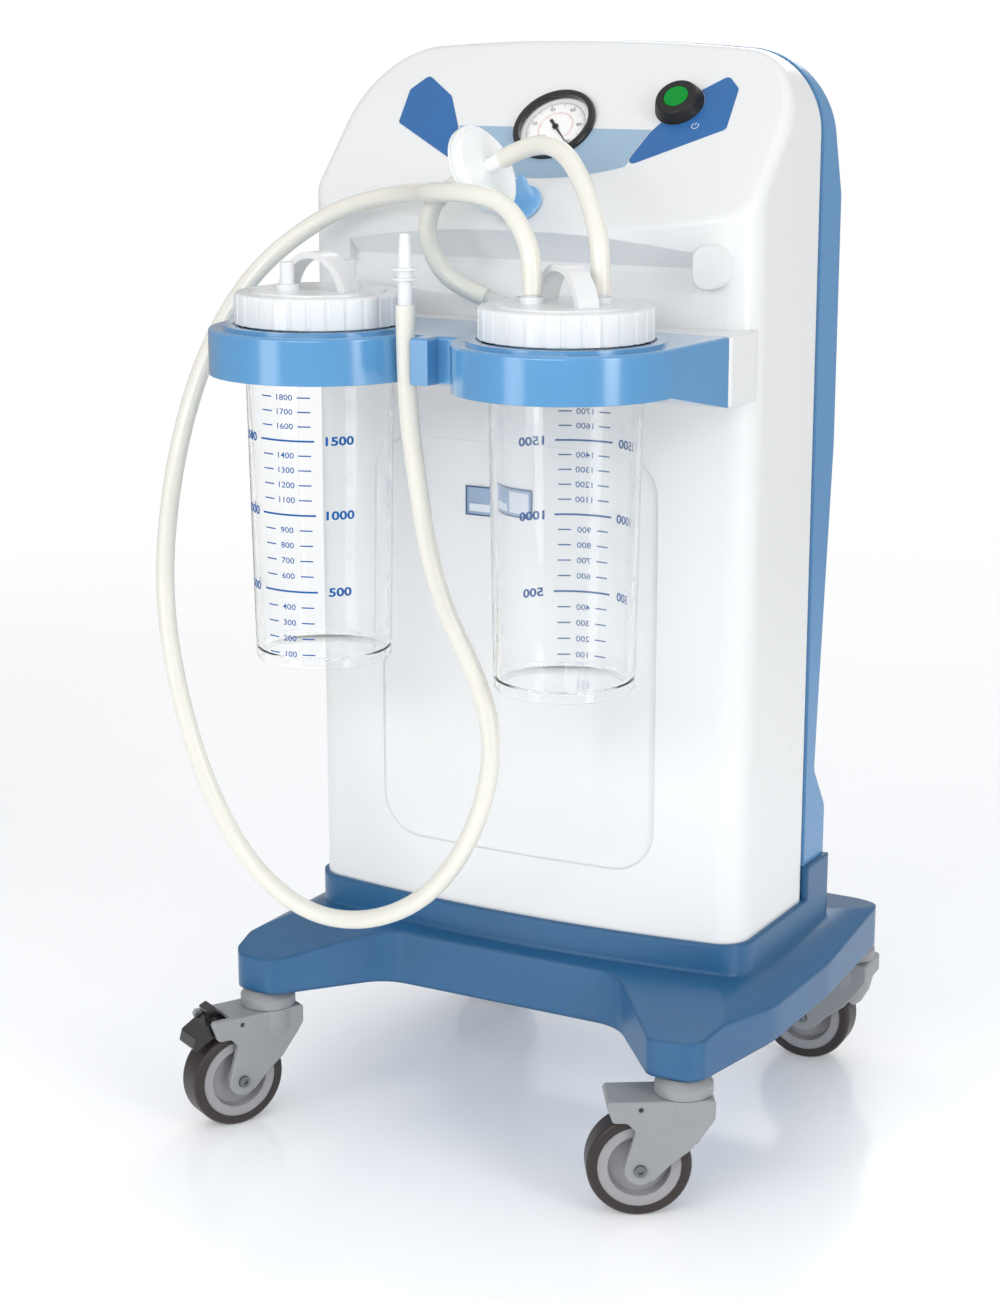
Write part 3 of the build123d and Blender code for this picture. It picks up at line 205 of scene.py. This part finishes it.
def mesh_from(name, builder, smooth=True):
    """A mesh filled by builder(bm)."""
    bm = bmesh.new()
    builder(bm)
    bmesh.ops.recalc_face_normals(bm, faces=bm.faces)
    mesh = bpy.data.meshes.new(name)
    bm.to_mesh(mesh)
    bm.free()
    if smooth:
        mesh.shade_smooth()
        mesh.set_sharp_from_angle(angle=math.radians(38))
    return mesh


def rounded(corners, steps=5):
    """A closed outline through corners of (x, y, radius). A corner with a radius becomes an arc."""
    outline = []
    for before, (x, y, radius), after in zip(corners[-1:] + corners[:-1], corners, corners[1:] + corners[:1]):
        if not radius:
            outline.append((x, y))
            continue
        here = Vector((x, y))
        back = (Vector(before[:2]) - here).normalized()
        ahead = (Vector(after[:2]) - here).normalized()
        half = back.angle(ahead) / 2
        middle = here + (back + ahead).normalized() * radius / math.sin(half)
        first = here + back * radius / math.tan(half) - middle
        last = here + ahead * radius / math.tan(half) - middle
        for k in range(steps + 1):
            spoke = first.lerp(last, k / steps).normalized() * radius
            outline.append(tuple(middle + spoke))
    return outline


def lathe(name, outline, centre, steps=96):
    """A mesh turned about the upright line through centre, from a closed outline of (radius, height)."""
    def build(bm):
        rings = []
        for radius, height in outline:
            count = steps if radius > 1e-6 else 1
            rings.append([
                bm.verts.new(mm(centre[0] + radius * math.cos(2 * math.pi * k / count),
                                centre[1] + radius * math.sin(2 * math.pi * k / count), height))
                for k in range(count)
            ])
        for ring, beside in zip(rings, rings[1:] + rings[:1]):
            for k in range(steps):
                corners = [ring[k % len(ring)], ring[(k + 1) % len(ring)],
                           beside[(k + 1) % len(beside)], beside[k % len(beside)]]
                face = list(dict.fromkeys(corners))
                if len(face) > 2:
                    bm.faces.new(face)
    return mesh_from(name, build)


def bar(width, height, steps=1):
    """A thin closed bar about the origin, cut into steps along x so that it can bend."""
    corners = []
    for k in range(steps + 1):
        x = width * (k / steps - 0.5)
        corners += [(x, -height / 2, 0), (x, height / 2, 0)]
        corners += [(x, height / 2, INK_DEPTH), (x, -height / 2, INK_DEPTH)]
    faces = [(0, 1, 2, 3), tuple(4 * steps + k for k in (3, 2, 1, 0))]
    for k in range(steps):
        for side_a, side_b in ((0, 1), (1, 2), (2, 3), (3, 0)):
            faces.append((4 * k + side_a, 4 * k + 4 + side_a, 4 * k + 4 + side_b, 4 * k + side_b))
    return corners, faces


def lettering(text, height, bold, stretch=1.0):
    """Corners and faces of upright figures about the origin, as thin closed solids, widened by stretch."""
    curve = bpy.data.curves.new("figures", "FONT")
    curve.body = text
    curve.align_x = "CENTER"
    curve.align_y = "CENTER"
    curve.resolution_u = 3
    curve.offset = bold
    curve.extrude = 0.01     # only tells front from back: the thickness is set below
    figures = bpy.data.objects.new("figures", curve)
    bpy.context.scene.collection.objects.link(figures)
    shape = bpy.data.meshes.new_from_object(figures.evaluated_get(bpy.context.evaluated_depsgraph_get()))
    bpy.data.objects.remove(figures)
    low = min(v.co.y for v in shape.vertices)
    high = max(v.co.y for v in shape.vertices)
    size = height / (high - low)
    middle = (low + high) / 2
    corners = [
        (v.co.x * size * stretch, (v.co.y - middle) * size, INK_DEPTH if v.co.z > 0 else 0.0)
        for v in shape.vertices
    ]
    faces = [tuple(f.vertices) for f in shape.polygons]
    bpy.data.meshes.remove(shape)
    return corners, faces


# ---- hoses ------------------------------------------------------------------------
HOSE_R = 7.0
FILTER_HOSE_ROUTE = [
    (17.8, -90.04, 777.78), (44.8, -93.1, 790.5), (74, -104, 787.5), (97, -117, 767), (114.5, -130.5, 741),
    (124.2, -139.9, 715), (124.2, -139.9, 690),
]
INLET_HOSE_ROUTE = [
    (-18.2, -85.96, 760.82), (-41.6, -83.31, 749.8), (-55, -77, 727.3), (-53.2, -70, 701.4),
    (-37, -64.5, 681), (-12.2, -61, 673.3),
]
PATIENT_HOSE_ROUTE = [
    (82.2, -163.3, 690), (82.2, -163.3, 714), (71.5, -158.5, 735), (51, -150, 752), (23, -146, 757),
    (-20, -127, 755), (-54, -92, 752), (-92, -69, 747), (-134, -66, 737), (-173, -70, 716.2),
    (-203.9, -86, 686.8), (-224.6, -108, 645.1), (-237.5, -131, 590), (-243.7, -152, 520.2),
    (-242.9, -166, 443.3), (-227, -173, 366.3), (-199.1, -174, 289.1), (-161.5, -173, 232.4),
    (-111.5, -172, 202), (-56.6, -172, 203.4), (-4.5, -171, 229.7), (31.5, -168, 276.9), (47.5, -162, 329),
    (45.5, -157, 374), (27, -153, 413), (3, -152, 453), (-9.5, -156, 500), (-12.5, -164, 551),
    (-15.2, -174, 613), (-15.2, -174, 678),
]


def hose(name, route):
    """A hose on a smooth curve whose control points are the route."""
    curve = bpy.data.curves.new(name, "CURVE")
    curve.dimensions = "3D"
    spline = curve.splines.new("NURBS")
    spline.points.add(len(route) - 1)
    for point, place in zip(spline.points, route):
        point.co = (*mm(*place), 1.0)
    spline.order_u = 3
    spline.use_endpoint_u = True
    spline.resolution_u = 12
    curve.bevel_depth = HOSE_R * MM
    curve.bevel_resolution = 8
    curve.use_fill_caps = True
    made = piece(name + "_smooth", curve, SILICONE)
    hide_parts(name)
    return made


hose("filter_hose", FILTER_HOSE_ROUTE)
hose("inlet_hose", INLET_HOSE_ROUTE)
hose("patient_hose", PATIENT_HOSE_ROUTE)


# ---- jars --------------------------------------------------------------------------
JAR_X, JAR_Y = 103.2, -151.6
JAR_FOOT_Z, JAR_FOOT_R = 405.5, 51.3
JAR_SHOULDER_Z, JAR_R = 620.0, 55.0
JAR_PLACES = {"left": (-JAR_X, JAR_Y), "right": (JAR_X, JAR_Y)}
JAR_BODIES = {"left": "left_jar", "right": "root"}
# Radius, height and corner radius. The foot is thinner than the CAD's, so that it leaves no dark ring.
JAR_OUTLINE = rounded([
    (0, 412.6, 0), (0, 413.5, 0), (46.5, 413.5, 2), (52.4, 620, 0), (52.4, 676, 0.8), (56, 676, 0.8),
    (56, 659, 0.6), (60, 659, 0.8), (60, 656.3, 0.8), (55.6, 655.2, 0.6), (55, 649, 2), (55, 620, 0),
    (51.35, 408.5, 1.5), (49.8, 405.6, 1.2), (47.6, 405.6, 0.8), (47.0, 412.6, 0.5),
])


def jar_radius(height):
    """Outer radius of the tapered jar at a height."""
    share = (height - JAR_FOOT_Z) / (JAR_SHOULDER_Z - JAR_FOOT_Z)
    return JAR_FOOT_R + (JAR_R - JAR_FOOT_R) * share


for side, centre in JAR_PLACES.items():
    jar = piece(f"jar_{side}_glass", lathe(f"jar_{side}_glass", JAR_OUTLINE, centre), CLEAR,
                JAR_BODIES[side])
    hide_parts(f"jar_{side}")


# ---- graduations on the jars ----------------------------------------------------------
FIRST_MARK_Z = 417.3     # height of the mark for 100 ml
MARK_PITCH = 0.1174      # mean rise per ml
MARK_CROWDING = 5.1e-6   # how much closer together the upper marks stand
LARGE_FIGURES = {"height": 6.8, "bold": 0.03, "stretch": 1.32}
SMALL_FIGURES = {"height": 4.4, "bold": 0.008, "stretch": 1.2}
MARK_LINE, TICK_LINE = 1.4, 0.95
MARK_STEPS, TICK_STEPS = 14, 4    # straight pieces that follow the jar's wall
PRINT_LIFT = 0.1         # gap between the jar's wall and the print
PRINT_CENTRE = {"left": -86.3, "right": 101.9}    # direction that the print faces, in degrees
MARK_HALF = 24.5         # half angle of the long marks, in degrees
TICK_FROM, TICK_TO = 11.0, 21.5      # the short marks, either side of their figure
NUMBER_AT = 43.0         # the large figures, beyond the ends of the long marks


def level(volume):
    """Height of a volume's mark. The jar widens upwards, so the marks draw closer together."""
    above = volume - 100
    return FIRST_MARK_Z + MARK_PITCH * above - MARK_CROWDING * above * (volume - 1000)


def printed(bm, corners_2d, faces, centre, turn, height):
    """Adds a flat shape to the jar's wall: its x goes round the jar and its y upwards."""
    verts = []
    for x, y, depth in corners_2d:
        z = height + y
        radius = jar_radius(z) + PRINT_LIFT + depth
        angle = math.radians(turn) + x / jar_radius(z)
        place = mm(centre[0] + radius * math.cos(angle), centre[1] + radius * math.sin(angle), z)
        verts.append(bm.verts.new(place))
    for face in faces:
        bm.faces.new([verts[k] for k in face])


def arc_width(turn_from, turn_to):
    """Length in millimetres round the jar between two angles."""
    return math.radians(turn_to - turn_from) * (JAR_FOOT_R + JAR_R) / 2


def graduations(centre, facing):
    """Builder of one jar's print: a mark every 100 ml, long and numbered large at every 500."""
    def build(bm):
        for volume in range(100, 2000, 100):
            z = level(volume)
            if volume % 500 == 0:
                mark = bar(arc_width(-MARK_HALF, MARK_HALF), MARK_LINE, MARK_STEPS)
                printed(bm, *mark, centre, facing, z)
                for way in (-1, 1):
                    turn = facing + way * NUMBER_AT
                    printed(bm, *lettering(str(volume), **LARGE_FIGURES), centre, turn, z)
            else:
                tick = bar(arc_width(TICK_FROM, TICK_TO), TICK_LINE, TICK_STEPS)
                for way in (-1, 1):
                    printed(bm, *tick, centre, facing + way * (TICK_FROM + TICK_TO) / 2, z)
                printed(bm, *lettering(str(volume), **SMALL_FIGURES), centre, facing, z)
    return build


for side, centre in JAR_PLACES.items():
    name = f"graduations_{side}"
    print_mesh = mesh_from(name, graduations(centre, PRINT_CENTRE[side]), smooth=False)
    piece(name, print_mesh, BLUE_INK, JAR_BODIES[side])


# ---- control panel ----------------------------------------------------------------------
PANEL_TILT = math.radians(43.2)
PANEL_UP = Vector((0, math.sin(PANEL_TILT), math.cos(PANEL_TILT)))
PANEL_OUT = Vector((0, -math.cos(PANEL_TILT), math.sin(PANEL_TILT)))
PANEL_ORIGIN = mm(0, 27.3, 800)      # u runs to the right from here and v up the slope
GAUGE_V = -3.5
DIAL_N = -1.69           # the dial lies this far below the panel
OUTER_SCALE_R, INNER_SCALE_R, DIAL_FIGURES_R = 24.0, 14.2, 19.2
DIAL_FIGURES = {"height": 3.1, "bold": 0.01}
SCALE_HALF = 135.0       # the scale runs this far each way from the top, in degrees
SPOT_U, SPOT_V = -6.5, GAUGE_V - 10.0    # a small ring printed on the dial
STANDBY_U, STANDBY_V = 117.5, -1.2
FOIL_TOP = 0.42          # height of the foil's face above the panel


def on_panel(bm, corners_2d, faces, u, v, n, turn=0.0):
    """Adds a flat shape to the sloping panel at (u, v), n above it, turned by an angle in degrees."""
    c, s = math.cos(math.radians(turn)), math.sin(math.radians(turn))
    verts = []
    for x, y, depth in corners_2d:
        across = u + x * c - y * s
        up = v + x * s + y * c
        place = PANEL_ORIGIN + MM * (Vector((across, 0, 0)) + PANEL_UP * up + PANEL_OUT * (n + depth))
        verts.append(bm.verts.new(place))
    for face in faces:
        bm.faces.new([verts[k] for k in face])


def ring_band(radius, width, turn_from, turn_to, steps):
    """A thin closed arc about the origin. Angles are clockwise from the top, in degrees."""
    corners, faces = bar(1.0, width, steps)
    bent = []
    for x, y, depth in corners:
        turn = math.radians(turn_from + (x + 0.5) * (turn_to - turn_from))
        bent.append(((radius + y) * math.sin(turn), (radius + y) * math.cos(turn), depth))
    return bent, faces


def scale_marks(bm, radius, marks, majors_every, long, short, line):
    """Radial marks along the dial's scale. Those between the long ones have a thinner line."""
    for k in range(marks + 1):
        length = long if k % majors_every == 0 else short
        width = line if k % majors_every == 0 else line * 0.7
        turn = -SCALE_HALF + 2 * SCALE_HALF * k / marks
        angle = math.radians(turn)
        middle = radius - length / 2
        on_panel(bm, *bar(width, length), middle * math.sin(angle), GAUGE_V + middle * math.cos(angle),
                 DIAL_N, -turn)


def black_scale(bm):
    """Ticks, arc and figures round the edge of the dial."""
    scale_marks(bm, OUTER_SCALE_R, marks=50, majors_every=5, long=2.8, short=1.5, line=0.5)
    on_panel(bm, *ring_band(OUTER_SCALE_R + 0.1, 0.3, -SCALE_HALF, SCALE_HALF, 60), 0, GAUGE_V, DIAL_N)
    for k in range(6):
        angle = math.radians(-SCALE_HALF + 2 * SCALE_HALF * k / 5)
        on_panel(bm, *lettering(str(20 * k), **DIAL_FIGURES), DIAL_FIGURES_R * math.sin(angle),
                 GAUGE_V + DIAL_FIGURES_R * math.cos(angle), DIAL_N)
    on_panel(bm, *ring_band(1.3, 1.2, 0, 360, 16), SPOT_U, SPOT_V, DIAL_N)


def red_scale(bm):
    """A second, finer scale without figures, nearer the middle of the dial."""
    on_panel(bm, *ring_band(INNER_SCALE_R, 0.3, -SCALE_HALF, SCALE_HALF, 48), 0, GAUGE_V, DIAL_N)
    scale_marks(bm, INNER_SCALE_R, marks=30, majors_every=5, long=2.0, short=1.1, line=0.35)


def standby_mark(bm):
    """A ring open at the top, with a bar through the opening."""
    on_panel(bm, *ring_band(2.7, 0.5, 35, 325, 30), STANDBY_U, STANDBY_V, FOIL_TOP)
    on_panel(bm, *bar(0.55, 2.6), STANDBY_U, STANDBY_V + 1.9, FOIL_TOP)


piece("gauge_scale", mesh_from("gauge_scale", black_scale, smooth=False), INK)
piece("gauge_inner_scale", mesh_from("gauge_inner_scale", red_scale, smooth=False), RED_INK)
piece("standby_symbol", mesh_from("standby_symbol", standby_mark, smooth=False), WHITE_INK)


# ---- knob and switch details ------------------------------------------------------------
KNOB_V = -82.0
KNOB_TURN = 32.0         # turn of the grip at rest, in degrees
KNOB_TOP = 27.0          # top of the grip above the panel
SWITCH_U, SWITCH_V = 98.0, 19.0
BOOT_FOOT_R, BOOT_HEAD_R = 19.1, 16.6
BOOT_RIBS = 36
BOOT_TIERS = 4
BOOT_FOOT_N = 0.6        # height of the lowest tier above the panel
TIER_HEIGHT = 1.8


def block(width, height, thickness, steps=1):
    """A bar with a thickness of its own, about the origin."""
    corners, faces = bar(width, height, steps)
    return [(x, y, depth * thickness / INK_DEPTH) for x, y, depth in corners], faces


def switch_ribs(bm):
    """Fine upright ribs round the switch's rubber boot, in tiers that lean with its flank."""
    for rib in range(BOOT_RIBS):
        angle = 2 * math.pi * rib / BOOT_RIBS
        for tier in range(BOOT_TIERS):
            radius = BOOT_FOOT_R + (BOOT_HEAD_R - BOOT_FOOT_R) * (tier + 0.5) / BOOT_TIERS
            on_panel(bm, *block(1.0, 0.9, 0.8), SWITCH_U + radius * math.cos(angle),
                     SWITCH_V + radius * math.sin(angle), BOOT_FOOT_N + TIER_HEIGHT * tier,
                     math.degrees(angle) - 90)


piece("switch_ribs", mesh_from("switch_ribs", switch_ribs, smooth=False), BLACK_RUBBER)


def knob_rib(bm):
    """A pale raised line along the top of the knob's grip, in white ink: a painted highlight where light
    catches the grip's ridge.
    """
    on_panel(bm, *block(15.0, 1.4, 0.6, 2), 0, KNOB_V, KNOB_TOP, KNOB_TURN)


# Painted highlight: a white ink line along the top of the knob's grip stands in for the light that catches
# it.
piece("knob_rib", mesh_from("knob_rib", knob_rib, smooth=False), WHITE_INK, "vacuum_knob")


# ---- rating plate --------------------------------------------------------------------------
PLATE_LOW, PLATE_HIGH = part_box("name_plate")
PLATE_FRAME = 1.0        # width of the dark line round the plate
BORDER_DEPTH, FIELD_DEPTH = 0.15, 0.10


def plate_bar(bm, x0, x1, z0, z1, thick):
    """A thin bar on the front of the plate, between fractions of its width and height."""
    width = PLATE_HIGH.x - PLATE_LOW.x
    height = PLATE_HIGH.z - PLATE_LOW.z
    front = PLATE_LOW.y
    corners = [
        bm.verts.new((PLATE_LOW.x + x * width, y, PLATE_LOW.z + z * height))
        for y in (front, front - thick * MM) for x, z in ((x0, z0), (x1, z0), (x1, z1), (x0, z1))
    ]
    for face in ((0, 1, 2, 3), (7, 6, 5, 4), (0, 4, 5, 1), (1, 5, 6, 2), (2, 6, 7, 3), (3, 7, 4, 0)):
        bm.faces.new([corners[k] for k in face])


def plate_border(bm):
    """A dark line round the plate."""
    across = PLATE_FRAME * MM / (PLATE_HIGH.x - PLATE_LOW.x)
    upward = PLATE_FRAME * MM / (PLATE_HIGH.z - PLATE_LOW.z)
    plate_bar(bm, 0, 1, 0, upward, BORDER_DEPTH)
    plate_bar(bm, 0, 1, 1 - upward, 1, BORDER_DEPTH)
    plate_bar(bm, 0, across, upward, 1 - upward, BORDER_DEPTH)
    plate_bar(bm, 1 - across, 1, upward, 1 - upward, BORDER_DEPTH)


def plate_fields(bm):
    """Two pale fields, left blank."""
    plate_bar(bm, 0.06, 0.50, 0.14, 0.40, FIELD_DEPTH)
    plate_bar(bm, 0.56, 0.94, 0.14, 0.86, FIELD_DEPTH)


piece("name_plate_border", mesh_from("name_plate_border", plate_border, smooth=False), PLATE_EDGE)
piece("name_plate_fields", mesh_from("name_plate_fields", plate_fields, smooth=False), PLATE_LIGHT)


# ---- stage --------------------------------------------------------------------------
def area_light(name, place, target, size, power):
    """A rectangular light aimed at a point, in metres and watts, that the camera doesn't see."""
    data = bpy.data.lights.new(name, "AREA")
    data.shape = "RECTANGLE"
    data.size, data.size_y = size
    data.energy = power
    light = bpy.data.objects.new(name, data)
    light.location = place
    light.rotation_euler = (Vector(target) - Vector(place)).to_track_quat("-Z", "Y").to_euler()
    light.visible_camera = False
    bpy.context.scene.collection.objects.link(light)


area_light("key", (0.30, -1.45, 1.05), (0, 0, 0.82), (0.9, 0.35), 5.5)
area_light("front_left", (-0.9, -2.4, 1.05), (0, 0, 0.65), (0.9, 1.9), 14)
area_light("right", (2.5, -0.9, 1.15), (0, 0, 0.6), (0.7, 1.9), 20)
area_light("back", (-0.6, 2.4, 1.8), (0, 0, 0.5), (1.4, 1.2), 14)
area_light("top", (0.2, 0.3, 3.0), (0, 0, 0), (1.6, 1.6), 4)

def studio_world():
    """A white studio: full white behind, softer as a light, and darker low down in reflections."""
    world = bpy.data.worlds.new("studio")
    world.use_nodes = True
    tree = world.node_tree
    seen = tree.nodes["Background"]
    seen.inputs["Color"].default_value = (1, 1, 1, 1)
    soft = node(tree, "Background", Color=(0.985, 0.992, 1, 1), Strength=0.64)
    mirrored = node(tree, "Background")
    parts = node(tree, "SeparateXYZ")
    rise = node(tree, "MapRange", From_Min=-0.1, From_Max=0.8, To_Min=0.40, To_Max=0.75)
    tree.links.new(node(tree, "TexCoord").outputs["Generated"], parts.inputs["Vector"])
    tree.links.new(parts.outputs["Z"], rise.inputs["Value"])
    tree.links.new(rise.outputs["Result"], mirrored.inputs["Strength"])
    rays = node(tree, "LightPath")
    glossy_or_soft = node(tree, "MixShader")
    tree.links.new(rays.outputs["Is Glossy Ray"], glossy_or_soft.inputs["Fac"])
    tree.links.new(soft.outputs["Background"], glossy_or_soft.inputs[1])
    tree.links.new(mirrored.outputs["Background"], glossy_or_soft.inputs[2])
    either = node(tree, "Math")
    either.operation = "MAXIMUM"
    tree.links.new(rays.outputs["Is Camera Ray"], either.inputs[0])
    tree.links.new(rays.outputs["Is Transmission Ray"], either.inputs[1])
    seen_or_lit = node(tree, "MixShader")
    tree.links.new(either.outputs["Value"], seen_or_lit.inputs["Fac"])
    tree.links.new(glossy_or_soft.outputs["Shader"], seen_or_lit.inputs[1])
    tree.links.new(seen.outputs["Background"], seen_or_lit.inputs[2])
    tree.links.new(seen_or_lit.outputs["Shader"], tree.nodes["World Output"].inputs["Surface"])
    return world


bpy.context.scene.world = studio_world()
bpy.context.scene.view_settings.view_transform = "Standard"

FLOOR_NEAR, FLOOR_FAR = 0.9, 2.6     # the floor fades into the white studio between these radii, in metres
FLOOR_R = FLOOR_FAR + 0.2


def floor_sheet(bm):
    """A flat disc at the origin's height."""
    bmesh.ops.create_circle(bm, cap_ends=True, segments=96, radius=FLOOR_R)


def floor_material():
    """A pale, slightly glossy floor that turns clear towards its edge."""
    made = material("pale_floor", (0.95, 0.955, 0.965), 0.16, mottle=0.002, grain=40, bump=0.0,
                    Emission_Color=(0.95, 0.97, 1, 1), Emission_Strength=0.19)
    tree = made.node_tree
    distance = node(tree, "VectorMath")
    distance.operation = "LENGTH"
    fade = node(tree, "MapRange", From_Min=FLOOR_NEAR, From_Max=FLOOR_FAR, To_Min=1.0, To_Max=0.0)
    fade.interpolation_type = "SMOOTHSTEP"
    tree.links.new(node(tree, "TexCoord").outputs["Object"], distance.inputs[0])
    tree.links.new(distance.outputs["Value"], fade.inputs["Value"])
    tree.links.new(fade.outputs["Result"], tree.nodes["Principled BSDF"].inputs["Alpha"])
    return made


floor = bpy.data.objects.new("floor", mesh_from("floor", floor_sheet, smooth=False))
floor.data.materials.append(floor_material())
bpy.context.scene.collection.objects.link(floor)
